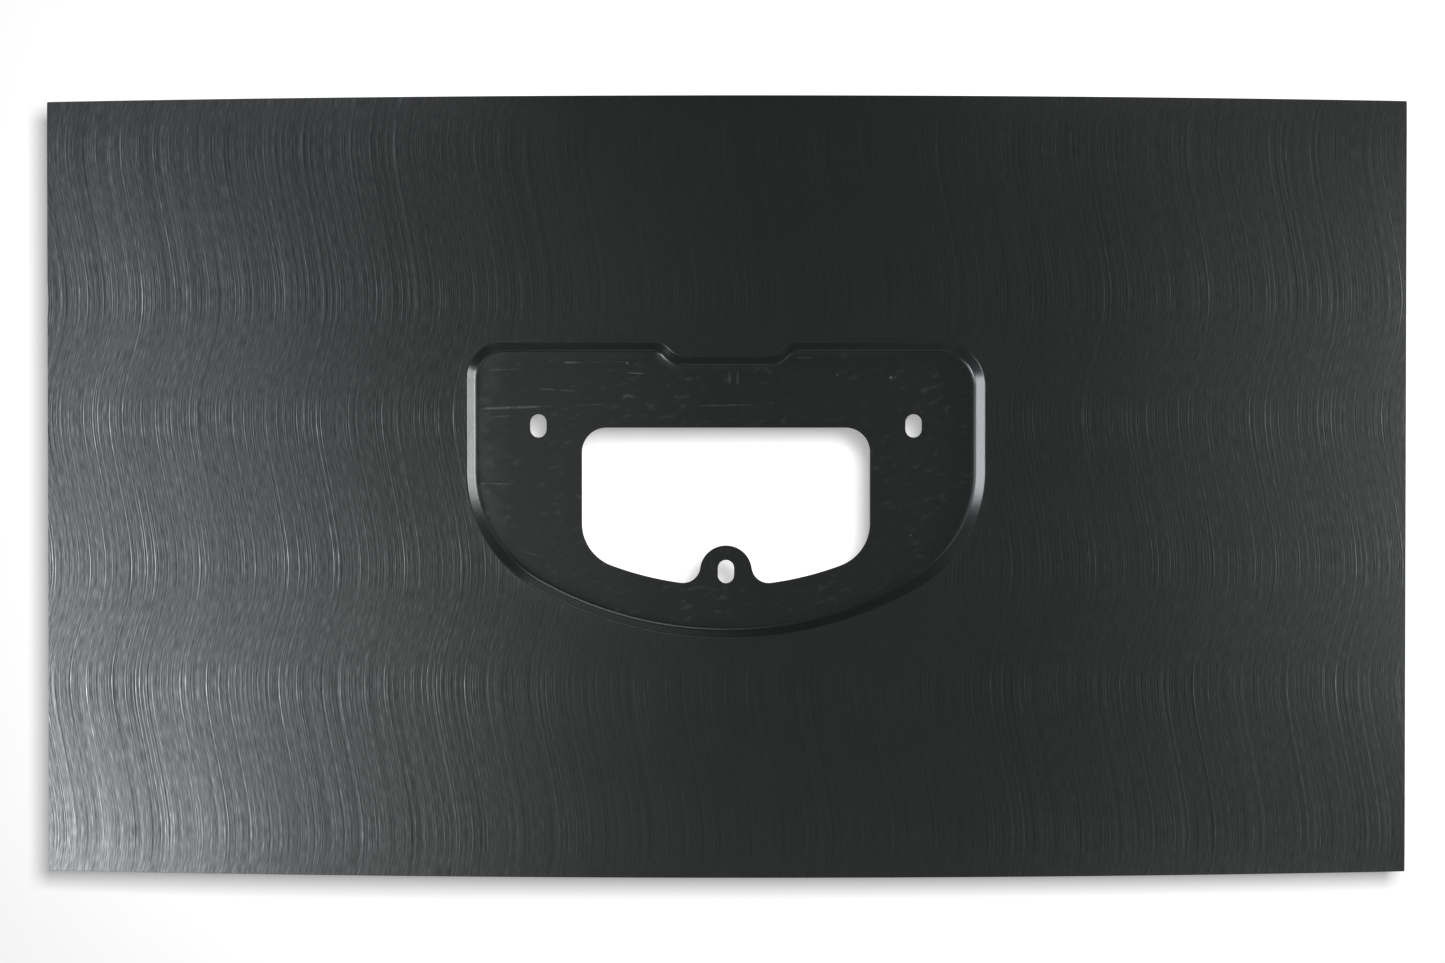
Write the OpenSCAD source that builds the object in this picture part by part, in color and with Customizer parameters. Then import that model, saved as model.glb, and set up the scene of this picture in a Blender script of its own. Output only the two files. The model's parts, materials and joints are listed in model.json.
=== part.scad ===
// Recessed handle panel: one pressed sheet-steel plate with a crown across its width,
// and a pocket in its middle whose flat floor has a window and three upright slots.
// Millimetres. X runs across the plate, Z up it, and Y from its front to its back.
// The origin is the middle of the plate in X and Z, on the front face of the pocket floor.

/* [Plate] */
// Width of the plate, edge to edge
plate_w = 762; // [700:1:900]
// Height of the plate, edge to edge
plate_h = 431.8; // [380:0.2:520]
// Thickness of the steel sheet
sheet_t = 0.9; // [0.7:0.1:1.1]
// How far the middle of the plate stands in front of its left and right edges
crown_h = 18; // [8:1:22]

/* [Pocket] */
// Width of the pocket between the outer bends of its walls
pocket_w = 287.5; // [280:0.5:310]
// Height of the pocket's top edge above the plate's middle
pocket_top = 80.5; // [78:0.5:90]
// Depth of the pocket's lowest point below the plate's middle
pocket_bottom = 84; // [80:1:90]
// Depth of the flat floor behind the plate's foremost point
pocket_depth = 8; // [7:0.5:9]
// Width of the wall all round the pocket, seen from the front
wall_run = 6.6; // [6:0.1:9]
// Radius of the outer bend, on the front face
shoulder_r = 1; // [1:0.1:1.8]
// Radius of the inner bend, on the front face
floor_r = 3.4; // [1.5:0.1:4]
// Radius of the pocket's two upper corners
corner_r = 25; // [20:1:30]
// Radius of the long curve along the bottom of the pocket
bottom_r = 214; // [205:1:225]
// Height at which the straight sides end and the lower corners begin
side_end = 9; // [5:1:15]

/* [Notch in the pocket's top edge] */
// Width of the notch's flat part
notch_flat = 44; // [36:1:60]
// Depth of the notch below the top edge
notch_drop = 8; // [6:1:9]
// Width of each of the two slopes beside the notch
notch_slope = 18; // [17:1:24]

/* [Window] */
// Width of the window
window_w = 160; // [150:1:164]
// Height of the window's top edge above the plate's middle
window_top = 33; // [30:1:35]
// Radius of the window's upper corners
window_corner_r = 13.5; // [8:0.5:16]
// Radius of the window's lower corners
window_lower_r = 25; // [20:1:28]
// Radius of the long curve along the window's bottom edge
window_bottom_r = 184; // [178:1:190]
// Depth of that curve's lowest point below the plate's middle
window_bottom = 55; // [53:0.5:57]

/* [Slots and tab] */
// Width of each slot
slot_w = 9; // [7:0.5:10]
// Length of each slot, end to end
slot_l = 13; // [11:0.5:14]
// Distance between the two upper slots
slot_spacing = 208.5; // [200:0.5:214]
// Height of the two upper slots above the plate's middle
slot_up = 34; // [30:1:38]
// Depth of the lower slot and of the tab's round end below the plate's middle
slot_down = 47; // [45:0.5:48]
// Radius of the tab's round end
tab_r = 14.5; // [13:0.5:15]
// Radius of the two curves where the tab joins the window's edge
tab_root_r = 9.5; // [8:0.5:10]

/* [Hidden] */

black = [0.15, 0.15, 0.155];

// Facets: rings of the skin, and steps round each bend and curve
skin_rings = 12;
shoulder_steps = 4;
floor_steps = 5;
curve_steps = 7;
blank_scale = 1.45;   // the untrimmed blank's ellipse, in half plate sizes
cut = 20;             // reach of the cutters in front of and behind the floor

crown_r = (pow(crown_h, 2) + pow(plate_w / 2, 2)) / (2 * crown_h);

// The front face of the skin at x, and its tilt there in degrees
function crown_y(x) = crown_r - sqrt(pow(crown_r, 2) - pow(x, 2)) - pocket_depth;
function crown_tilt(x) = asin(x / crown_r);

// A point on a circle, with the direction that leads into the pocket: side is 1 where
// the circle's centre is inside the pocket, and -1 where it is outside
function on_arc(c, r, a, side) = [c + r * [cos(a), sin(a)], -side * [cos(a), sin(a)]];
function arc(c, r, from, to, side, steps = curve_steps) =
    [for (k = [0 : steps]) on_arc(c, r, from + (to - from) * k / steps, side)];
function between(a, b, steps) =
    [for (k = [1 : steps - 1]) [a[0] + (b[0] - a[0]) * k / steps, a[1]]];
function mirrored(p) = [[-p[0].x, p[0].y], [-p[1].x, p[1].y]];
function turned_back(list) = [for (k = [len(list) - 1 : -1 : 0]) list[k]];
function last(list) = list[len(list) - 1];
function tail(list) = [for (k = [1 : len(list) - 1]) list[k]];

// Radius of a corner that is tangent to an upright side and to a long bottom curve
function lower_corner_r(half_w, side_z, long_r, long_z) =
    (pow(long_r, 2) - pow(half_w, 2) - pow(side_z - long_z, 2)) / (2 * (long_r - half_w));

// Right half of the pocket's rim, from the middle of the notch down to the lowest point
notch_r = (pow(notch_slope, 2) + pow(notch_drop, 2)) / (4 * notch_drop);
notch_angle = asin(notch_slope / (2 * notch_r));
rim_notch = arc([notch_flat / 2, pocket_top - notch_drop + notch_r], notch_r,
                -90, notch_angle - 90, -1, curve_steps - 3);
rim_top = arc([notch_flat / 2 + notch_slope, pocket_top - notch_r], notch_r,
              90 + notch_angle, 90, 1, curve_steps - 3);
rim_corner = arc([pocket_w / 2 - corner_r, pocket_top - corner_r], corner_r, 90, 0, 1);
bottom_centre = bottom_r - pocket_bottom;
side_r = lower_corner_r(pocket_w / 2, side_end, bottom_r, bottom_centre);
side_angle = atan2(bottom_centre - side_end, pocket_w / 2 - side_r);
rim_side = arc([pocket_w / 2 - side_r, side_end], side_r, 0, -side_angle, 1);
rim_bottom = arc([0, bottom_centre], bottom_r, -side_angle, -90, 1, curve_steps + 2);

rim_right = concat(
    rim_notch,
    tail(rim_top),
    between(last(rim_top), rim_corner[0], 6),
    rim_corner,
    between(last(rim_corner), rim_side[0], 3),
    rim_side,
    tail(rim_bottom));
rim = concat(
    [[[0, pocket_top - notch_drop], [0, -1]]],
    rim_right,
    turned_back([for (k = [0 : len(rim_right) - 2]) mirrored(rim_right[k])]));
n = len(rim);

// A point of the skin outside the rim, at share 0 on the blank's edge and 1 on the rim
function blank_edge(p) = let (a = atan2(p.y / plate_h, p.x / plate_w))
    blank_scale / 2 * [plate_w * cos(a), plate_h * sin(a)];
function skin_point(p, share, depth) = let (
    q = p * share + blank_edge(p) * (1 - share),
    tilt = crown_tilt(q.x) * (1 - share))
    [q.x - depth * sin(tilt), crown_y(q.x) + depth * cos(tilt), q.y];

// The wall's section above one rim point: across from the rim (u) and back from the floor (v).
// Two bends, joined by the straight line that is tangent to both.
function wall_point(p, into, step, depth) = let (
    start = atan(tan(crown_tilt(p.x)) * into.x),
    c1 = [-shoulder_r * sin(start), crown_y(p.x) + shoulder_r * cos(start)],
    c2 = [wall_run, -floor_r],
    d = c2 - c1,
    steep = atan2(d.y, d.x) + asin((shoulder_r + floor_r) / norm(d)),
    in_shoulder = step <= shoulder_steps,
    slope = in_shoulder
        ? start + (steep - start) * step / shoulder_steps
        : steep * (1 - (step - shoulder_steps - 1) / floor_steps),
    back = [-sin(slope), cos(slope)],
    uv = in_shoulder ? c1 - (shoulder_r - depth) * back : c2 + (floor_r + depth) * back)
    [p.x + into.x * uv.x, uv.y, p.y + into.y * uv.x];

wall_rings = shoulder_steps + floor_steps + 2;
rings = skin_rings + wall_rings;
function sheet_ring(j, depth) = [for (p = rim)
    j < skin_rings ? skin_point(p[0], j / skin_rings, depth)
                   : wall_point(p[0], p[1], j - skin_rings, depth)];

// The untrimmed blank: a front and a back surface of rings, each closed by a fan over the floor
module pressed_blank() {
    face_size = rings * n + 1;
    points = [for (depth = [0, sheet_t]) each concat(
        [for (j = [0 : rings - 1]) each sheet_ring(j, depth)],
        [[0, depth, 0]])];
    function id(side, j, i) = side * face_size + j * n + i % n;
    function centre(side) = side * face_size + rings * n;
    faces = concat(
        [for (j = [0 : rings - 2], i = [0 : n - 1]) each [
            [id(0, j, i), id(0, j, i + 1), id(0, j + 1, i + 1)],
            [id(0, j, i), id(0, j + 1, i + 1), id(0, j + 1, i)],
            [id(1, j, i), id(1, j + 1, i + 1), id(1, j, i + 1)],
            [id(1, j, i), id(1, j + 1, i), id(1, j + 1, i + 1)]]],
        [for (i = [0 : n - 1]) each [
            [id(0, rings - 1, i), id(0, rings - 1, i + 1), centre(0)],
            [id(1, rings - 1, i + 1), id(1, rings - 1, i), centre(1)],
            [id(0, 0, i), id(1, 0, i), id(1, 0, i + 1)],
            [id(0, 0, i), id(1, 0, i + 1), id(0, 0, i + 1)]]]);
    polyhedron(points, faces);
}

// Turns a flat outline in X and Z into a cutter through the floor
module through() {
    translate([0, cut, 0]) rotate([90, 0, 0]) linear_extrude(2 * cut) children();
}

// The window: upright sides, a long bottom curve, and the tab that stands up from it
window_centre = window_bottom_r - window_bottom;
window_side_z = window_centre - sqrt(pow(window_bottom_r - window_lower_r, 2)
                                     - pow(window_w / 2 - window_lower_r, 2));
lower_angle = atan2(window_centre - window_side_z, window_w / 2 - window_lower_r);
root_from_long = window_bottom_r - tab_root_r;
root_from_tab = tab_r + tab_root_r;
tab_to_long = window_centre + slot_down;
root_drop = (pow(root_from_long, 2) - pow(root_from_tab, 2) + pow(tab_to_long, 2))
            / (2 * tab_to_long);
root_centre = [sqrt(pow(root_from_long, 2) - pow(root_drop, 2)), window_centre - root_drop];
root_long_angle = atan2(root_drop, root_centre.x);
root_tab_angle = atan2(root_centre.y + slot_down, root_centre.x);

window_right = [for (p = concat(
    arc([window_w / 2 - window_corner_r, window_top - window_corner_r], window_corner_r, 90, 0, 1),
    arc([window_w / 2 - window_lower_r, window_side_z], window_lower_r, 0, -lower_angle, 1),
    tail(arc([0, window_centre], window_bottom_r, -lower_angle, -root_long_angle, 1)),
    tail(arc(root_centre, tab_root_r, -root_long_angle, -180 + root_tab_angle, 1)),
    tail(arc([0, -slot_down], tab_r, root_tab_angle, 90, -1)))) p[0]];

module window_cut() {
    through() polygon(concat(window_right,
        [for (k = [len(window_right) - 2 : -1 : 0]) [-window_right[k].x, window_right[k].y]]));
}

module slot_cut(x, z) {
    translate([x, 0, z]) {
        for (end = [-1, 1])
            translate([0, 0, end * (slot_l - slot_w) / 2])
                rotate([90, 0, 0]) cylinder(d = slot_w, h = 2 * cut, center = true, $fn = 48);
        cube([slot_w, 2 * cut, slot_l - slot_w], center = true);
    }
}

module pressed_panel() {
    color(black) difference() {
        intersection() {
            pressed_blank();
            cube([plate_w, 4 * cut, plate_h], center = true);
        }
        window_cut();
        for (side = [-1, 1]) slot_cut(side * slot_spacing / 2, slot_up);
        slot_cut(0, -slot_down);
    }
}

pressed_panel();
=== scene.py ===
import json
import math

import bpy
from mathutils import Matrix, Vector
from mathutils.geometry import delaunay_2d_cdt


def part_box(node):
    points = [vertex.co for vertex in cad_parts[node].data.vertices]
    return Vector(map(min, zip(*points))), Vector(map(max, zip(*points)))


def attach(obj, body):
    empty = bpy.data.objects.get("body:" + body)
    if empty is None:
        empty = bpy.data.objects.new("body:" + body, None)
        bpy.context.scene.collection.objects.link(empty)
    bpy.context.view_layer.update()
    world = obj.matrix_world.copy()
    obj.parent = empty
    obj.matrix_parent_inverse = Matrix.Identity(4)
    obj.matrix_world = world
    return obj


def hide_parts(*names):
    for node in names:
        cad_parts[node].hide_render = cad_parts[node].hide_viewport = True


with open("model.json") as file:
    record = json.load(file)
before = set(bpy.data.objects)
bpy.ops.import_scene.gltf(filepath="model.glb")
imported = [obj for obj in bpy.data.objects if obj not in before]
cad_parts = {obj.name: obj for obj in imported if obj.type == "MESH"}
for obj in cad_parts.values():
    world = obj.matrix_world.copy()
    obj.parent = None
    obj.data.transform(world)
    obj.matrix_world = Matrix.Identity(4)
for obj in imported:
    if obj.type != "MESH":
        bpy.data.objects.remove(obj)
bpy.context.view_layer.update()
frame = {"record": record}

# A crowned sheet-steel panel with a pressed D-shaped pocket. The mesh is worked out in
# millimetres, in the frame's own axes: X across, Y from front to back, Z up.
MM = 0.001

# ---------------------------------------------------------------- dimensions

low, high = (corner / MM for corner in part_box("pressed_panel"))
mounts = {mount["name"]: mount for mount in frame["record"]["mounts"]}
slot_mounts = [mount for mount in mounts.values() if mount["kind"] == "bolt_pattern"]

HALF_W = high.x
HALF_H = high.z
POCKET_DEPTH = -low.y
SHEET_T = mounts["latch_face"]["pos_m"][1] / MM
SLOT_R = slot_mounts[0]["dims"]["hole_r_mm"]
SLOT_L = slot_mounts[0]["dims"]["slot_length_mm"]
SLOT_CENTRES = [(m["pos_m"][0] / MM, m["pos_m"][2] / MM) for m in slot_mounts]

CROWN_H = 18.0
POCKET_HALF_W = 143.75
POCKET_TOP = 80.5
POCKET_BOTTOM = -84.0
RIGHT_CORNER_R = 25.0
LEFT_CORNER_R = 20.0        # the draw came out a little tighter here
SIDE_END = 9.0
BOTTOM_R = 214.0
NOTCH_HALF_FLAT = 22.0
NOTCH_DROP = 8.0
NOTCH_SLOPE = 18.0
WALL_RUN = 6.6
SHOULDER_R = 1.0
FLOOR_R = 3.4
RAMP_W = 4.0        # the floor still rises gently over this width, beside the wall's foot
RAMP_SLOPE = math.radians(10)   # at the right wall, and less and less towards the left one
WINDOW_HALF_W = 80.0
WINDOW_TOP = 33.0
WINDOW_CORNER_R = 13.5
WINDOW_LOWER_R = 25.0
WINDOW_BOTTOM = -55.0
WINDOW_BOTTOM_R = 184.0
TAB_Z = -47.0
TAB_R = 14.5
TAB_ROOT_R = 9.5
PLATE_CORNER_R = 0.6
EDGE_R = 0.16       # rounding that the coat leaves on every cut edge
LIP_H = 0.2         # the pressing leaves the skin this much proud at the rim
LIP_W = 4.0
ROLL_H = 0.25       # the skin curls back by this much at the plate's edges
ROLL_W = 8.0

# the skin's apex stands LIP_H behind the frame's front, which the lip just reaches, and the
# skin's corners stand where the frame has them
SKIN_FRONT = LIP_H - POCKET_DEPTH
SKIN_RISE = CROWN_H - LIP_H - 2 * ROLL_H
CROWN_R = (SKIN_RISE ** 2 + HALF_W ** 2) / (2 * SKIN_RISE)
STEP = 1.6          # longest step along a curve

# how many steps each stretch of the wall's section is drawn in, from the rim inwards
SHOULDER_STEPS = 9
WALL_STEPS = 4
FOOT_STEPS = 12
RAMP_STEPS = 5


# ------------------------------------------------------------------ outlines
# An outline is a closed list of (x, z, out_x, out_z): a point and its unit normal.

def arc(cx, cz, radius, start, end, side=1):
    """Points on an arc. side is 1 where the normal points away from the centre, else -1."""
    steps = max(3, math.ceil(radius * abs(math.radians(end - start)) / STEP))
    angles = [math.radians(start + (end - start) * k / steps) for k in range(steps + 1)]
    return [(cx + radius * math.cos(a), cz + radius * math.sin(a),
             side * math.cos(a), side * math.sin(a)) for a in angles]


def joined(*stretches):
    """Stretches end to end, with straight gaps filled in at the same step."""
    points = []
    for stretch in stretches:
        for p in stretch:
            if points:
                q = points[-1]
                gap = math.dist(p[:2], q[:2])
                if gap < 1e-6:
                    continue
                extra = int(gap // (2 * STEP))
                for k in range(1, extra + 1):
                    s = k / (extra + 1)
                    points.append((q[0] + (p[0] - q[0]) * s, q[1] + (p[1] - q[1]) * s, q[2], q[3]))
            points.append(p)
    return points


def closed(right_half, left_half=None):
    """A whole loop, anticlockwise as seen from the front. Both halves are drawn on the right,
    from the top middle down to the bottom middle. The left one is the mirrored right one
    unless it's given."""
    left = [(-x, z, -nx, nz) for x, z, nx, nz in left_half or right_half]
    return left + [p for p in reversed(right_half) if abs(p[0]) > 1e-6]


def lower_corner(half_w, side_z, long_r, long_z):
    """Radius of a corner tangent to an upright side and to a long bottom curve."""
    return (long_r ** 2 - half_w ** 2 - (side_z - long_z) ** 2) / (2 * (long_r - half_w))


def half_rim(corner_r):
    """The right half of the pocket's rim, with an upper corner of the radius given."""
    notch_r = (NOTCH_SLOPE ** 2 + NOTCH_DROP ** 2) / (4 * NOTCH_DROP)
    turn = math.degrees(math.asin(NOTCH_SLOPE / (2 * notch_r)))
    long_z = POCKET_BOTTOM + BOTTOM_R
    side_r = lower_corner(POCKET_HALF_W, SIDE_END, BOTTOM_R, long_z)
    side_x = POCKET_HALF_W - side_r
    side_turn = math.degrees(math.atan2(long_z - SIDE_END, side_x))
    return joined(
        [(0.0, POCKET_TOP - NOTCH_DROP, 0.0, 1.0)],
        arc(NOTCH_HALF_FLAT, POCKET_TOP - NOTCH_DROP + notch_r, notch_r, -90, turn - 90, -1),
        arc(NOTCH_HALF_FLAT + NOTCH_SLOPE, POCKET_TOP - notch_r, notch_r, 90 + turn, 90),
        arc(POCKET_HALF_W - corner_r, POCKET_TOP - corner_r, corner_r, 90, 0),
        arc(side_x, SIDE_END, side_r, 0, -side_turn),
        arc(0, long_z, BOTTOM_R, -side_turn, -90))


def pocket_rim():
    return closed(half_rim(RIGHT_CORNER_R), half_rim(LEFT_CORNER_R))


def window_outline():
    long_z = WINDOW_BOTTOM + WINDOW_BOTTOM_R
    lower_x = WINDOW_HALF_W - WINDOW_LOWER_R
    lower_z = long_z - math.sqrt((WINDOW_BOTTOM_R - WINDOW_LOWER_R) ** 2 - lower_x ** 2)
    lower_turn = math.degrees(math.atan2(long_z - lower_z, lower_x))
    reach = long_z - TAB_Z
    drop = ((WINDOW_BOTTOM_R - TAB_ROOT_R) ** 2 - (TAB_R + TAB_ROOT_R) ** 2 + reach ** 2) / (2 * reach)
    root_x = math.sqrt((WINDOW_BOTTOM_R - TAB_ROOT_R) ** 2 - drop ** 2)
    root_z = long_z - drop
    long_turn = math.degrees(math.atan2(drop, root_x))
    tab_turn = math.degrees(math.atan2(root_z - TAB_Z, root_x))
    return closed(joined(
        [(0.0, WINDOW_TOP, 0.0, 1.0)],
        arc(WINDOW_HALF_W - WINDOW_CORNER_R, WINDOW_TOP - WINDOW_CORNER_R, WINDOW_CORNER_R, 90, 0),
        arc(lower_x, lower_z, WINDOW_LOWER_R, 0, -lower_turn),
        arc(0, long_z, WINDOW_BOTTOM_R, -lower_turn, -long_turn),
        arc(root_x, root_z, TAB_ROOT_R, -long_turn, tab_turn - 180),
        arc(0, TAB_Z, TAB_R, tab_turn, 90, -1)))


def slot_outline(x, z):
    rise = SLOT_L / 2 - SLOT_R
    return joined(
        arc(x, z + rise, SLOT_R, 0, 180),
        arc(x, z - rise, SLOT_R, 180, 360))


# ------------------------------------------------------------------- surface

def crown(x):
    """Front face of the skin at x, and the sine and cosine of its tilt there."""
    rise = math.sqrt(CROWN_R ** 2 - x ** 2)
    return CROWN_R - rise + SKIN_FRONT, x / CROWN_R, rise / CROWN_R


def lip(distance):
    """How proud the skin stands at a distance outside the pocket's rim."""
    return LIP_H * math.exp(-distance / LIP_W)


def roll(x, z):
    """How far the skin curls back, near the plate's edges."""
    return ROLL_H * (math.exp((abs(x) - HALF_W) / ROLL_W) + math.exp((abs(z) - HALF_H) / ROLL_W))


def skin_point(x, z, distance, depth):
    """A point of the skin, at a distance outside the pocket's rim and a depth into the sheet."""
    y, lean, upright = crown(x)
    y += roll(x, z) - lip(distance)
    return Vector((x - depth * lean, y + depth * upright, z))


def wall_section(rim_point):
    """The pocket's wall at one rim point: (run inwards, y, slope) of the front face, in order.
    Two bends joined by a straight stretch, then the gentle ramp down to the flat floor."""
    x, _, out_x, _ = rim_point
    y, lean, upright = crown(x)
    start = math.atan(lean / upright * -out_x) - math.atan(LIP_H / LIP_W)
    ramp = RAMP_SLOPE * (0.5 + 0.5 * out_x)
    ramp_h = RAMP_W * math.tan(ramp) / 2
    c1 = (-SHOULDER_R * math.sin(start), y - LIP_H + SHOULDER_R * math.cos(start))
    c2 = (WALL_RUN + FLOOR_R * math.sin(ramp), -ramp_h - FLOOR_R * math.cos(ramp))
    du, dv = c2[0] - c1[0], c2[1] - c1[1]
    steep = math.atan2(dv, du) + math.asin((SHOULDER_R + FLOOR_R) / math.hypot(du, dv))
    section = []
    for k in range(1, SHOULDER_STEPS + 1):
        slope = start + (steep - start) * k / SHOULDER_STEPS
        section.append((c1[0] + SHOULDER_R * math.sin(slope), c1[1] - SHOULDER_R * math.cos(slope), slope))
    end_u, end_y = section[-1][:2]
    foot_u, foot_y = c2[0] - FLOOR_R * math.sin(steep), c2[1] + FLOOR_R * math.cos(steep)
    for k in range(1, WALL_STEPS):
        share = k / WALL_STEPS
        section.append((end_u + (foot_u - end_u) * share, end_y + (foot_y - end_y) * share, steep))
    for k in range(0, FOOT_STEPS + 1):
        slope = steep + (ramp - steep) * k / FOOT_STEPS
        section.append((c2[0] - FLOOR_R * math.sin(slope), c2[1] + FLOOR_R * math.cos(slope), slope))
    for k in range(1, RAMP_STEPS + 1):
        left = 1 - k / RAMP_STEPS
        slope = math.atan(math.tan(ramp) * left)
        section.append((WALL_RUN + RAMP_W * (1 - left), -ramp_h * left ** 2, slope))
    return section


class Sheet:
    """Collects the mesh: points in millimetres, with a normal and a brushed mark (1 where the
    brush reached, else 0) for each, and faces."""

    def __init__(self):
        self.points = []
        self.normals = []
        self.brushed = []
        self.faces = []

    def ring(self, points, normals, brushed=0.0):
        """Adds points and gives back their numbers."""
        first = len(self.points)
        self.points += points
        self.normals += normals
        self.brushed += [brushed] * len(points)
        return list(range(first, first + len(points)))

    def band(self, a, b):
        """Quads between two closed rings of the same length."""
        count = len(a)
        for i in range(count):
            j = (i + 1) % count
            self.faces.append((a[i], a[j], b[j], b[i]))

    def bands(self, rings):
        for a, b in zip(rings, rings[1:]):
            self.band(a, b)


def grid_normals(rows, sign):
    """Normals of a closed grid of rings, from each point's neighbours."""
    count = len(rows[0])
    found = []
    for j, row in enumerate(rows):
        before, after = rows[max(j - 1, 0)], rows[min(j + 1, len(rows) - 1)]
        found.append([
            (sign * (row[(i + 1) % count] - row[i - 1]).cross(after[i] - before[i])).normalized()
            for i in range(count)])
    return found


def plate_edge(rim):
    """For each rim point, a point of the plate's edge with its outward normal."""
    count = len(rim)
    half_w, half_h, r = HALF_W - PLATE_CORNER_R, HALF_H - PLATE_CORNER_R, PLATE_CORNER_R
    corners = [(1, 1), (-1, 1), (-1, -1), (1, -1)]
    starts = []
    for cx, cz in corners:
        aim = math.atan2(cz * HALF_H, cx * HALF_W)
        turn = [abs(math.remainder(math.atan2(p[1], p[0]) - aim, math.tau)) for p in rim]
        starts.append(turn.index(min(turn)))
    arc_points = 2      # on each side of a corner's middle
    edge = [None] * count
    for (cx, cz), at in zip(corners, starts):
        middle = math.degrees(math.atan2(cz, cx))
        for k in range(-arc_points, arc_points + 1):
            a = math.radians(middle + 45 * k / arc_points)
            edge[(at + k) % count] = (cx * half_w + r * math.cos(a), cz * half_h + r * math.sin(a),
                                      math.cos(a), math.sin(a))
    for n, at in enumerate(starts):
        a, b = at + arc_points, starts[(n + 1) % 4] - arc_points
        if b < a:
            b += count
        p, q = edge[a % count], edge[b % count]
        lengths = [0.0]
        for i in range(a, b):
            lengths.append(lengths[-1] + math.dist(rim[i % count][:2], rim[(i + 1) % count][:2]))
        for i in range(a + 1, b):
            s = lengths[i - a] / lengths[-1]
            edge[i % count] = (p[0] + (q[0] - p[0]) * s, p[1] + (q[1] - p[1]) * s, p[2], p[3])
    return edge


def cut_edge(sheet, front, back, outline, backs):
    """Rounds and closes a cut edge. outline holds its outward normals, backs the sheet's back
    direction at each point. front and back are the rings already laid EDGE_R inside the edge."""
    outs = [Vector((p[2], 0, p[3])) for p in outline]
    rings = [front]
    steps = 4
    for k in range(1, steps + 1):
        a = math.radians(90 * k / steps)
        rings.append(sheet.ring(
            [sheet.points[front[i]] + EDGE_R * (outs[i] * math.sin(a) + backs[i] * (1 - math.cos(a)))
             for i in range(len(outs))],
            [outs[i] * math.sin(a) - backs[i] * math.cos(a) for i in range(len(outs))]))
    for k in range(steps, 0, -1):
        a = math.radians(90 * k / steps)
        rings.append(sheet.ring(
            [sheet.points[back[i]] + EDGE_R * (outs[i] * math.sin(a) - backs[i] * (1 - math.cos(a)))
             for i in range(len(outs))],
            [outs[i] * math.sin(a) + backs[i] * math.cos(a) for i in range(len(outs))]))
    rings.append(back)
    sheet.bands(rings)


# The skin's rings of points: how far outside the rim the near ones stand, and how many
# more there are from there to the plate's edge.
NEAR = [6.5, 5.2, 4.1, 3.2, 2.4, 1.7, 1.1, 0.6, 0.25]
FAR_RINGS = 40


def skin_and_wall(rim, edge, depth):
    """Rings of points from the plate's edge to the pocket's floor, on one face of the sheet."""
    count = len(rim)
    rows = []
    inner = [(p[0] + NEAR[0] * p[2], p[1] + NEAR[0] * p[3]) for p in rim]
    outer = [(e[0] - EDGE_R * e[2], e[1] - EDGE_R * e[3]) for e in edge]
    for k in range(FAR_RINGS):
        t = k / FAR_RINGS
        s = 1 - t * t * (3 - 2 * t)         # closer together at both ends
        row = []
        for (ix, iz), (ox, oz) in zip(inner, outer):
            row.append(skin_point(ix + (ox - ix) * s, iz + (oz - iz) * s,
                                  NEAR[0] + s * math.dist((ix, iz), (ox, oz)), depth))
        rows.append(row)
    for offset in NEAR + [0.0]:
        rows.append([skin_point(p[0] + offset * p[2], p[1] + offset * p[3], offset, depth) for p in rim])
    sections = [wall_section(p) for p in rim]
    for k in range(len(sections[0])):
        row = []
        for p, section in zip(rim, sections):
            run, y, slope = section[k]
            run -= depth * math.sin(slope)
            y += depth * math.cos(slope)
            row.append(Vector((p[0] - p[2] * run, y, p[1] - p[3] * run)))
        rows.append(row)
    return rows


def inside(x, z, loop):
    """Whether a point lies inside a loop of (x, z) points."""
    crossings = 0
    for (ax, az), (bx, bz) in zip(loop, loop[1:] + loop[:1]):
        if (az > z) != (bz > z) and x < ax + (z - az) / (bz - az) * (bx - ax):
            crossings += 1
    return crossings % 2 == 1


def floor_fill(outer, holes):
    """Triangles of the flat floor between its outer loop and the holes. Loops hold (x, z)."""
    points, edges = [], []
    for loop in [outer] + holes:
        first = len(points)
        points += [Vector(p) for p in loop]
        edges += [(first + k, first + (k + 1) % len(loop)) for k in range(len(loop))]
    triangles = delaunay_2d_cdt(points, edges, [], 1, 1e-5)[2]
    kept = []
    for triangle in triangles:
        centre = sum((points[k] for k in triangle), Vector((0, 0))) / 3
        if not any(inside(centre.x, centre.y, hole) for hole in holes):
            kept.append(triangle)
    return kept


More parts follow.
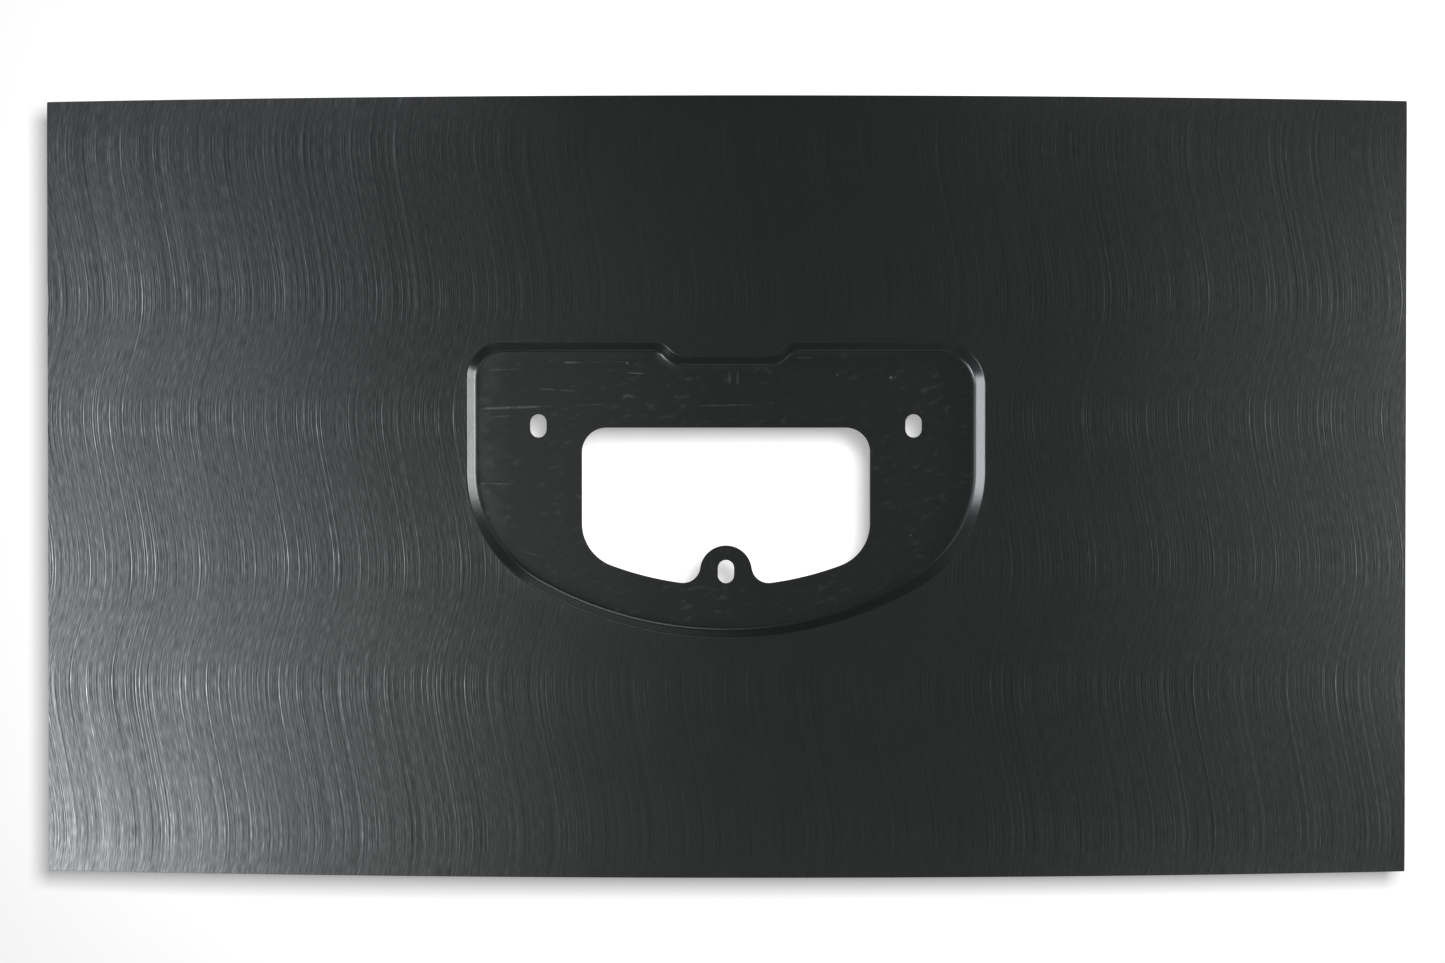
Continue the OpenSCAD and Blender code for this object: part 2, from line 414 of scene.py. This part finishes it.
def build_panel():
    sheet = Sheet()
    rim = pocket_rim()
    edge = plate_edge(rim)
    holes = [window_outline()] + [slot_outline(x, z) for x, z in SLOT_CENTRES]
    sides = []
    for depth, sign in ((0.0, 1), (SHEET_T, -1)):
        rows = skin_and_wall(rim, edge, depth)
        normals = grid_normals(rows, sign)
        out = Vector((0, -sign, 0))
        normals[-1] = [out] * len(rim)
        skin_rows = FAR_RINGS + len(NEAR) + 1
        rings = []
        for j, (row, normal) in enumerate(zip(rows, normals)):
            brushed = 1.0 if depth == 0 and j < skin_rows else 0.0
            rings.append(sheet.ring(row, normal, brushed))
        insets = [[(p[0] + EDGE_R * p[2], p[1] + EDGE_R * p[3]) for p in hole] for hole in holes]
        loops = [sheet.ring([Vector((x, depth, z)) for x, z in inset], [out] * len(inset))
                 for inset in insets]
        fill = floor_fill([(v.x, v.z) for v in rows[-1]], insets)
        ids = rings[-1] + [i for loop in loops for i in loop]
        sides.append((rings, loops, [[ids[k] for k in face] for face in fill]))
    (front_rings, front_loops, front_fill), (back_rings, back_loops, back_fill) = sides
    sheet.bands(front_rings)
    sheet.bands([list(reversed(ring)) for ring in back_rings])
    sheet.faces += [tuple(f) for f in front_fill]
    sheet.faces += [tuple(reversed(f)) for f in back_fill]
    backs = []
    for e in edge:
        _, lean, upright = crown(e[0])
        backs.append(Vector((-lean, upright, 0)))
    cut_edge(sheet, list(reversed(front_rings[0])), list(reversed(back_rings[0])),
             list(reversed(edge)), list(reversed(backs)))
    for hole, front, back in zip(holes, front_loops, back_loops):
        inward = [(x, z, -nx, -nz) for x, z, nx, nz in hole]
        cut_edge(sheet, front, back, inward, [Vector((0, 1, 0))] * len(hole))
    return sheet


def make_object(name, sheet):
    mesh = bpy.data.meshes.new(name)
    mesh.from_pydata([p * MM for p in sheet.points], [], sheet.faces)
    mesh.shade_smooth()
    attribute = mesh.attributes.new("brushed", "FLOAT", "POINT")
    attribute.data.foreach_set("value", sheet.brushed)
    mesh.normals_split_custom_set_from_vertices(sheet.normals)
    obj = bpy.data.objects.new(name, mesh)
    bpy.context.scene.collection.objects.link(obj)
    return obj


# ----------------------------------------------------------------- materials

class Graph:
    """Builds one node material with short calls. Values are numbers or other nodes' outputs."""

    def __init__(self, name):
        self.material = bpy.data.materials.new(name)
        self.material.use_nodes = True
        self.tree = self.material.node_tree
        self.tree.nodes.clear()

    def node(self, kind, inputs=(), **settings):
        node = self.tree.nodes.new(kind)
        for key, value in settings.items():
            setattr(node, key, value)
        for key, value in dict(inputs).items():
            if isinstance(value, bpy.types.NodeSocket):
                self.tree.links.new(value, node.inputs[key])
            else:
                node.inputs[key].default_value = value
        return node

    def math(self, operation, *values):
        node = self.node("ShaderNodeMath", enumerate(values), operation=operation)
        return node.outputs[0]

    def product(self, first, *others):
        for other in others:
            first = self.math("MULTIPLY", first, other)
        return first

    def total(self, first, *others):
        for other in others:
            first = self.math("ADD", first, other)
        return first

    def ramp(self, value, low, high, to_low=0.0, to_high=1.0):
        """Smooth step from to_low, where value is at low, to to_high at high."""
        node = self.node("ShaderNodeMapRange", {0: value, 1: low, 2: high, 3: to_low, 4: to_high},
                         interpolation_type="SMOOTHSTEP")
        return node.outputs[0]

    def vector(self, x, y=0.0, z=0.0):
        return self.node("ShaderNodeCombineXYZ", {0: x, 1: y, 2: z}).outputs[0]

    def noise(self, vector, scale, detail=2.0, roughness=0.5):
        node = self.node("ShaderNodeTexNoise", {
            "Vector": vector, "Scale": scale, "Detail": detail, "Roughness": roughness})
        return node.outputs[0]

    def finish(self, shader):
        self.node("ShaderNodeOutputMaterial", {"Surface": shader})
        return self.material


# The brush's path: x in mm that its strokes wander, as z goes up the panel.
WAVE_PITCH = 149.5
WAVE_LEAN = -0.0072
WAVE_MAIN = (5.92, -3.063)      # size in mm and phase of the main wave
WAVE_SECOND = (0.67, 0.331)     # and of its first overtone
TURN = math.tau / WAVE_PITCH    # radians of the wave in each mm of z
SHOW_LEAN = -0.04               # strokes show most where their path leans by this
FADE_LEAN = 0.26                # and least where it leans by this much more or less
FADE_SHOW = 0.32                # how strongly they show there

# Lines that the brush left: width and length in mm, how strongly they show in the coat's
# sheen, and height in mm.
BRISTLE_SIZE, BRISTLE_SHEEN, BRISTLE_H = (0.75, 900.0), 6.5, 0.1
SWEEP_SIZE, SWEEP_SHEEN, SWEEP_H = (24.0, 3000.0), 0.45, 0.03
DASH_SIZE, DASH_SHEEN, DASH_H = (0.6, 7.0), 2.0, 0.02
PATCH_SIZE = (1.4, 110.0)       # of the stretches over which a bristle's line comes and goes
PATCH_SHOW = (-0.2, 0.2, 0.2, 1.6)      # from one noise value to another, then strengths

# How hard the brush bore. Each row runs from one place to another in mm, then from one
# strength to another. The ACROSS rows are added up, and so are the UP rows.
ACROSS_RIGHT = (40.0, 140.0, 1.0, 0.8)
ACROSS_LEFT = (-230.0, -370.0, 0.0, 0.1)
ACROSS_MIDDLE = (170.0, 60.0, 0.0, -0.5)        # the same on both sides of the middle
UP_TOP = (195.0, 60.0, 0.62, 1.08)
UP_BOTTOM = (-90.0, -200.0, 0.0, -0.45)
SWEEP_UP = (190.0, -80.0, 1.0, 0.6)


def brush_marks(g, x, z, brushed):
    """The grooves' height in mm, and what the strokes multiply the coat's sheen by."""
    turn = g.math("MULTIPLY", z, TURN)
    main = g.math("ADD", turn, WAVE_MAIN[1])
    second = g.math("MULTIPLY_ADD", turn, 2.0, WAVE_SECOND[1])
    wave = g.total(
        g.math("MULTIPLY", z, WAVE_LEAN),
        g.product(g.math("SINE", main), WAVE_MAIN[0]),
        g.product(g.math("SINE", second), WAVE_SECOND[0]))
    lean = g.total(
        WAVE_LEAN,
        g.product(g.math("COSINE", main), WAVE_MAIN[0] * TURN),
        g.product(g.math("COSINE", second), WAVE_SECOND[0] * 2 * TURN))
    across = g.math("SUBTRACT", x, wave)

    def strokes(size, seed, detail, roughness=0.6):
        """Uneven lines about 0 that follow the brush's path."""
        at = g.vector(g.math("DIVIDE", across, size[0]), g.math("DIVIDE", z, size[1]), seed)
        return g.math("SUBTRACT", g.noise(at, 1.0, detail, roughness), 0.5)

    off_lean = g.math("ABSOLUTE", g.math("SUBTRACT", lean, SHOW_LEAN))
    upright = g.ramp(off_lean, FADE_LEAN, 0.0, FADE_SHOW, 1.0)
    patches = g.ramp(strokes(PATCH_SIZE, 23.0, 1.0), *PATCH_SHOW)
    pressure = g.total(
        g.ramp(x, *ACROSS_RIGHT),
        g.ramp(x, *ACROSS_LEFT),
        g.ramp(g.math("ABSOLUTE", x), *ACROSS_MIDDLE))
    by_height = g.total(g.ramp(z, *UP_TOP), g.ramp(z, *UP_BOTTOM))
    bristles = g.product(strokes(BRISTLE_SIZE, 11.0, 1.0), patches, pressure, upright, by_height)
    sweeps = g.product(strokes(SWEEP_SIZE, 3.0, 3.0), g.ramp(z, *SWEEP_UP))
    dashes = g.product(strokes(DASH_SIZE, 17.0, 1.0, 0.5), pressure)
    sheen = g.math("EXPONENT", g.product(brushed, g.total(
        g.product(bristles, BRISTLE_SHEEN),
        g.product(sweeps, pressure, SWEEP_SHEEN),
        g.product(dashes, DASH_SHEEN))))
    grooves = g.total(
        g.product(bristles, BRISTLE_H),
        g.product(sweeps, SWEEP_H),
        g.product(dashes, DASH_H))
    # the grooves flatten out towards the plate's top and bottom edges
    reach = g.product(
        brushed,
        g.ramp(z, HALF_H - 2, HALF_H - 16),
        g.ramp(z, -HALF_H - 4, -HALF_H + 10))
    return g.product(grooves, reach), sheen


# Rub marks on the pocket's floor, in mm: start x and z, end x and z, half width, strength
RUBS = [
    (-90.5, 69.2, -78.0, 69.2, 0.7, 0.8),
    (-79.0, 69.4, -50.0, 69.7, 0.35, 0.45),
    (-54.8, 63.5, -44.5, 63.0, 0.6, 1.0),
    (-134.0, 64.8, -110.8, 65.7, 0.4, 0.6),
    (-104.0, 54.8, -93.0, 53.9, 0.6, 0.7),
    (-93.0, 53.9, -80.5, 53.1, 0.6, 0.35),
    (-138.0, 43.5, -92.0, 45.0, 1.0, 0.8),
    (-132.0, 38.5, -116.0, 40.0, 0.7, 0.35),
    (-85.0, 45.3, -60.0, 46.2, 0.45, 0.35),
    (-138.5, 2.2, -114.0, 1.4, 0.45, 0.7),
    (-16.5, 45.2, 22.0, 45.8, 0.5, 0.45),
    (39.0, 72.0, 50.0, 72.0, 0.5, 0.5),
    (-114.0, -35.5, -98.0, -40.2, 0.5, 0.3),
    (-58.0, 51.2, -48.0, 49.8, 1.3, 0.3),
    (2.0, 56.8, 2.2, 65.8, 1.2, 0.4),
    (6.4, 56.8, 6.6, 65.8, 1.0, 0.35),
]
# how much lighter each kind of mark, and the painted light beside the left wall, makes the coat
RUB_TONE = 0.10
SPECK_TONE = 0.16
SMEAR_TONE = 0.02
PAINTED_GLOW_TONE = 0.016
# Marks and the painted light show from none at the first of each pair of places to all at
# the second, in mm from the floor's front face and from the panel's middle.
MARKS_AND_GLOW_Y = (0.6, 0.4)
MARKS_AND_GLOW_X = (POCKET_HALF_W + 2, POCKET_HALF_W - 2)
PAINTED_GLOW_X = (-118.0, -134.0)       # painted light: the floor made lighter beside the left wall
SPECK_SCALE = 0.075             # cells in each mm, any of which may hold one speck
SPECK_EDGE = (0.055, 0.02)      # from none to all of a speck, in cells from its middle
SPECK_CHANCE = (0.5, 0.8)       # cells that drew less than the first hold none
SMEAR_ALONG = (0.13, 0.04)      # steps of the smears' noise in each mm of x and of z,
SMEAR_OVER = (-0.06, 0.24)      # along the smears and over them


def rub_mark(g, x, z, rub):
    """1 along the middle of one rub mark, fading to 0 at its sides and ends."""
    start_x, start_z, end_x, end_z, half_w, strength = rub
    length = math.dist((start_x, start_z), (end_x, end_z))
    along_x, along_z = (end_x - start_x) / length, (end_z - start_z) / length
    x, z = g.math("SUBTRACT", x, start_x), g.math("SUBTRACT", z, start_z)
    along = g.total(g.product(x, along_x), g.product(z, along_z))
    off = g.math("ABSOLUTE", g.total(g.product(x, -along_z), g.product(z, along_x)))
    return g.product(g.ramp(off, half_w, 0.0), g.ramp(along, 0.0, 0.15 * length),
                     g.ramp(along, length, 0.5 * length), strength)


def marks_and_painted_light(g, x, y, z, spot):
    """How much lighter rubs, specks, smears and the painted light beside the left wall make the front of
    the pocket's floor.
    """
    on_floor = g.product(
        g.ramp(g.math("ABSOLUTE", y), *MARKS_AND_GLOW_Y),
        g.ramp(g.math("ABSOLUTE", x), *MARKS_AND_GLOW_X))
    rubs = g.total(*(rub_mark(g, x, z, rub) for rub in RUBS))
    broken = g.ramp(g.noise(g.vector(g.math("DIVIDE", x, 5.0), z), 1.0, 3.0, 0.7), 0.3, 0.6)
    dots = g.node("ShaderNodeTexVoronoi", {"Vector": spot, "Scale": SPECK_SCALE, "Randomness": 1.0})
    chance = g.node("ShaderNodeSeparateColor", {0: dots.outputs["Color"]}).outputs[0]
    specks = g.product(g.ramp(dots.outputs["Distance"], *SPECK_EDGE), g.ramp(chance, *SPECK_CHANCE))
    # faint smears, drawn out along a line that rises to the right
    smear_at = g.vector(
        g.total(g.product(x, SMEAR_ALONG[0]), g.product(z, SMEAR_ALONG[1])),
        g.total(g.product(x, SMEAR_OVER[0]), g.product(z, SMEAR_OVER[1])))
    smears = g.product(
        g.ramp(g.noise(smear_at, 1.0, 4.0, 0.6), 0.52, 0.75),
        g.ramp(g.noise(spot, 0.03, 1.0), 0.4, 0.58, 0.25, 1.0))
    # painted light: the floor grows lighter towards the left wall, where light from the lit wall falls
    painted_glow = g.product(g.ramp(x, *PAINTED_GLOW_X), g.ramp(g.noise(spot, 0.12, 3.0, 0.6), 0.3, 0.6))
    return g.product(on_floor, g.total(
        g.product(rubs, broken, RUB_TONE),
        g.product(specks, SPECK_TONE),
        g.product(smears, SMEAR_TONE),
        g.product(painted_glow, PAINTED_GLOW_TONE)))


COAT_TONE = 0.016
COAT_TINT = (1.0, 1.03, 1.01)
COAT_GLOSS = 0.49
PRESSED_GLOSS = 0.08        # more than that where the brush didn't reach
COAT_ROUGHNESS = 0.25
BRUSHED_ROUGHNESS = 0.04    # more than that where it did
PEEL_H = 0.03               # height in mm of the coat's fine unevenness


def brushed_coat():
    """The thin satin black coat, with the brush's strokes where the mesh says brushed."""
    g = Graph("black_coat")
    place = g.node("ShaderNodeTexCoord").outputs["Object"]
    axes = g.node("ShaderNodeSeparateXYZ", {0: place}).outputs
    x, y, z = (g.math("MULTIPLY", axis, 1 / MM) for axis in axes)
    spot = g.vector(x, y, z)
    brushed = g.node("ShaderNodeAttribute", attribute_name="brushed").outputs["Fac"]
    pressed = g.math("SUBTRACT", 1.0, brushed)
    grooves, sheen = brush_marks(g, x, z, brushed)
    gloss = g.product(g.total(COAT_GLOSS, g.product(pressed, PRESSED_GLOSS)), sheen)
    peel = g.noise(spot, 0.35, 3.0, 0.55)
    height = g.total(grooves, g.product(peel, PEEL_H))
    bump = g.node("ShaderNodeBump", {"Strength": 1.0, "Distance": MM, "Height": height}).outputs[0]
    rough = g.total(
        g.product(brushed, BRUSHED_ROUGHNESS), COAT_ROUGHNESS,
        g.product(g.math("SUBTRACT", g.noise(spot, 0.03, 3.0, 0.6), 0.5), 0.08))
    tone = g.math("ADD", COAT_TONE, marks_and_painted_light(g, x, y, z, spot))
    tints = (g.product(tone, tint) for tint in COAT_TINT)
    colour = g.node("ShaderNodeCombineColor", enumerate(tints)).outputs[0]
    shader = g.node("ShaderNodeBsdfPrincipled", {
        "Base Color": colour, "Roughness": rough, "Normal": bump, "IOR": 1.5,
        "Specular IOR Level": gloss}).outputs[0]
    return g.finish(shader)


# --------------------------------------------------------------------- stage

BACKDROP_Y = 60.0
FLOOR_Z = -300.0
STAGE_HALF_W = 1600.0
STAGE_TOP = 1200.0
FLOOR_REACH = 1200.0    # how far the floor runs to the front and back
WHITE = 0.9
FLOOR_GRAIN = 0.04      # how much the floor's white wanders
SHADOW_TONE = 0.38      # how bright the stage stays inside the panel's shadow
LIGHT_DISTANCE = 1400.0

# widths and heights of the soft boxes, in mm
TALL_BOX = (450, 700)
SQUARE_BOX = (450, 450)
FLAT_BOX = (700, 450)
STRIP_BOX = (760, 130)
BACK_BOX = (700, 700)
COOL = (0.91, 0.955, 1.0)
PLAIN = (0.95, 1.0, 0.985)
# Soft boxes that light the panel: name, azimuth from the front towards the right and
# elevation in degrees, size, power in watts, colour
LIGHTS = [
    ("far_left", -84, 0, TALL_BOX, 13.5, COOL),
    ("left_strip", -52, 0, TALL_BOX, 1.8, COOL),
    ("left_low", -46, -24, SQUARE_BOX, 6.4, COOL),
    ("left_side", -52, -16, TALL_BOX, 5.2, COOL),
    ("left_level", -38, 0, TALL_BOX, 2.0, COOL),
    ("left_lower", -26, -16, TALL_BOX, 1.22, PLAIN),
    ("left_near", -14, 0, TALL_BOX, 0.34, PLAIN),
    ("right_near", 14, 0, TALL_BOX, 0.12, PLAIN),
    ("right_level", 38, 0, TALL_BOX, 0.6, PLAIN),
    ("right_low", 38, -32, TALL_BOX, 0.57, PLAIN),
    ("right_strip", 52, 0, TALL_BOX, 0.9, PLAIN),
    ("right_side", 68, 0, TALL_BOX, 4.6, PLAIN),
    ("far_right", 84, 0, TALL_BOX, 19.5, PLAIN),
    ("above", 30, 60, FLAT_BOX, 3.6, PLAIN),
    ("below", 0, -75, FLAT_BOX, 0.6, PLAIN),
    ("top_left", -34, 24, STRIP_BOX, 0.76, COOL),
    ("top_right", 34, 24, STRIP_BOX, 0.36, PLAIN),
    ("low_left", -34, -24, STRIP_BOX, 0.14, COOL),
    ("low_middle", 0, -24, STRIP_BOX, 0.2, PLAIN),
    ("low_right", 34, -24, STRIP_BOX, 0.24, PLAIN),
    ("behind_left", -140, 30, BACK_BOX, 14.0, COOL),
    ("behind_right", 150, 10, BACK_BOX, 15.0, PLAIN),
]
# a lamp above and to the right of the camera, which throws the panel's soft shadow down and left
KEY_AT = (121, -1008, 134)
KEY_BOX = (235, 235)
KEY_POWER = 12.0


def stage_white(name, grain):
    """Matt white that stays pale in shadow, and is clear from behind, so that the panel's
    back can be seen. grain is how much its tone wanders."""
    g = Graph(name)
    place = g.node("ShaderNodeTexCoord").outputs["Object"]
    tone = g.ramp(g.noise(place, 6.0, 2.0, 0.5), 0.3, 0.7, WHITE - grain, WHITE)
    colour = g.node("ShaderNodeCombineColor", {0: tone, 1: tone, 2: tone}).outputs[0]
    white = g.node("ShaderNodeBsdfDiffuse", {"Color": colour}).outputs[0]
    glow = g.node("ShaderNodeEmission", {"Color": colour, "Strength": SHADOW_TONE / WHITE}).outputs[0]
    lit = g.node("ShaderNodeAddShader", {0: white, 1: glow}).outputs[0]
    clear = g.node("ShaderNodeBsdfTransparent").outputs[0]
    behind = g.node("ShaderNodeNewGeometry").outputs["Backfacing"]
    return g.finish(g.node("ShaderNodeMixShader", {0: behind, 1: lit, 2: clear}).outputs[0])


def stage_sheet(name, corners, grain):
    mesh = bpy.data.meshes.new(name)
    mesh.from_pydata([Vector(c) * MM for c in corners], [], [(0, 1, 2, 3)])
    mesh.materials.append(stage_white(name, grain))
    obj = bpy.data.objects.new(name, mesh)
    bpy.context.scene.collection.objects.link(obj)
    # seen by the camera, but it neither blocks the lights nor shows in the panel's sheen
    obj.visible_shadow = False
    obj.visible_glossy = False
    obj.visible_diffuse = False
    return obj


def lit_group(name, objects):
    """A collection that a light can be limited to."""
    group = bpy.data.collections.new(name)
    for obj in objects:
        group.objects.link(obj)
    return group


def soft_box(name, place, size, power, colour, lights_only):
    """An area light at place, in mm, turned to face the panel's middle."""
    light = bpy.data.lights.new(name, "AREA")
    light.shape = "RECTANGLE"
    light.size, light.size_y = size[0] * MM, size[1] * MM
    light.energy = power
    light.color = colour
    obj = bpy.data.objects.new(name, light)
    bpy.context.scene.collection.objects.link(obj)
    obj.location = Vector(place) * MM
    obj.rotation_euler = (-obj.location).to_track_quat("-Z", "Y").to_euler()
    obj.visible_camera = False
    obj.light_linking.receiver_collection = lights_only


def build_stage(panel):
    backdrop = stage_sheet("backdrop", [
        (-STAGE_HALF_W, BACKDROP_Y, FLOOR_Z), (STAGE_HALF_W, BACKDROP_Y, FLOOR_Z),
        (STAGE_HALF_W, BACKDROP_Y, STAGE_TOP), (-STAGE_HALF_W, BACKDROP_Y, STAGE_TOP)], 0.0)
    floor = stage_sheet("floor", [
        (-STAGE_HALF_W, -FLOOR_REACH, FLOOR_Z), (STAGE_HALF_W, -FLOOR_REACH, FLOOR_Z),
        (STAGE_HALF_W, FLOOR_REACH, FLOOR_Z), (-STAGE_HALF_W, FLOOR_REACH, FLOOR_Z)], FLOOR_GRAIN)
    on_panel = lit_group("lit_panel", [panel])
    on_stage = lit_group("lit_stage", [backdrop, floor])
    for name, azimuth, elevation, size, power, colour in LIGHTS:
        turn, rise = math.radians(azimuth), math.radians(elevation)
        place = LIGHT_DISTANCE * Vector((
            math.sin(turn) * math.cos(rise), -math.cos(turn) * math.cos(rise), math.sin(rise)))
        soft_box(name, place, size, power, colour, on_panel)
    soft_box("stage_key", KEY_AT, KEY_BOX, KEY_POWER, (1, 1, 1), on_stage)
    # the world is white to the camera, and lights nothing
    world = bpy.data.worlds.new("studio")
    bpy.context.scene.world = world
    world.use_nodes = True
    tree = world.node_tree
    seen = tree.nodes.new("ShaderNodeLightPath").outputs["Is Camera Ray"]
    background = tree.nodes["Background"]
    background.inputs["Color"].default_value = (1, 1, 1, 1)
    tree.links.new(seen, background.inputs["Strength"])


# The camera stands a metre in front of the panel, a little above and right of its middle,
# and looks almost straight at it. The angles are in degrees.
CAMERA_AT = (1.8, -1008.0, 11.4)
CAMERA_YAW = -0.211
CAMERA_PITCH = -0.473
CAMERA_LENS = 45.19
CAMERA_SENSOR = 36.0


def build_camera():
    data = bpy.data.cameras.new("camera")
    data.lens = CAMERA_LENS
    data.sensor_width = CAMERA_SENSOR
    camera = bpy.data.objects.new("camera", data)
    bpy.context.scene.collection.objects.link(camera)
    camera.location = Vector(CAMERA_AT) * MM
    camera.rotation_euler = (math.radians(90 + CAMERA_PITCH), 0, math.radians(-CAMERA_YAW))
    bpy.context.scene.camera = camera


# ---------------------------------------------------------------------- main

panel = make_object("panel", build_panel())
panel.data.materials.append(brushed_coat())
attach(panel, "root")
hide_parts("pressed_panel")
build_stage(panel)
build_camera()
bpy.context.scene.view_settings.view_transform = "Standard"
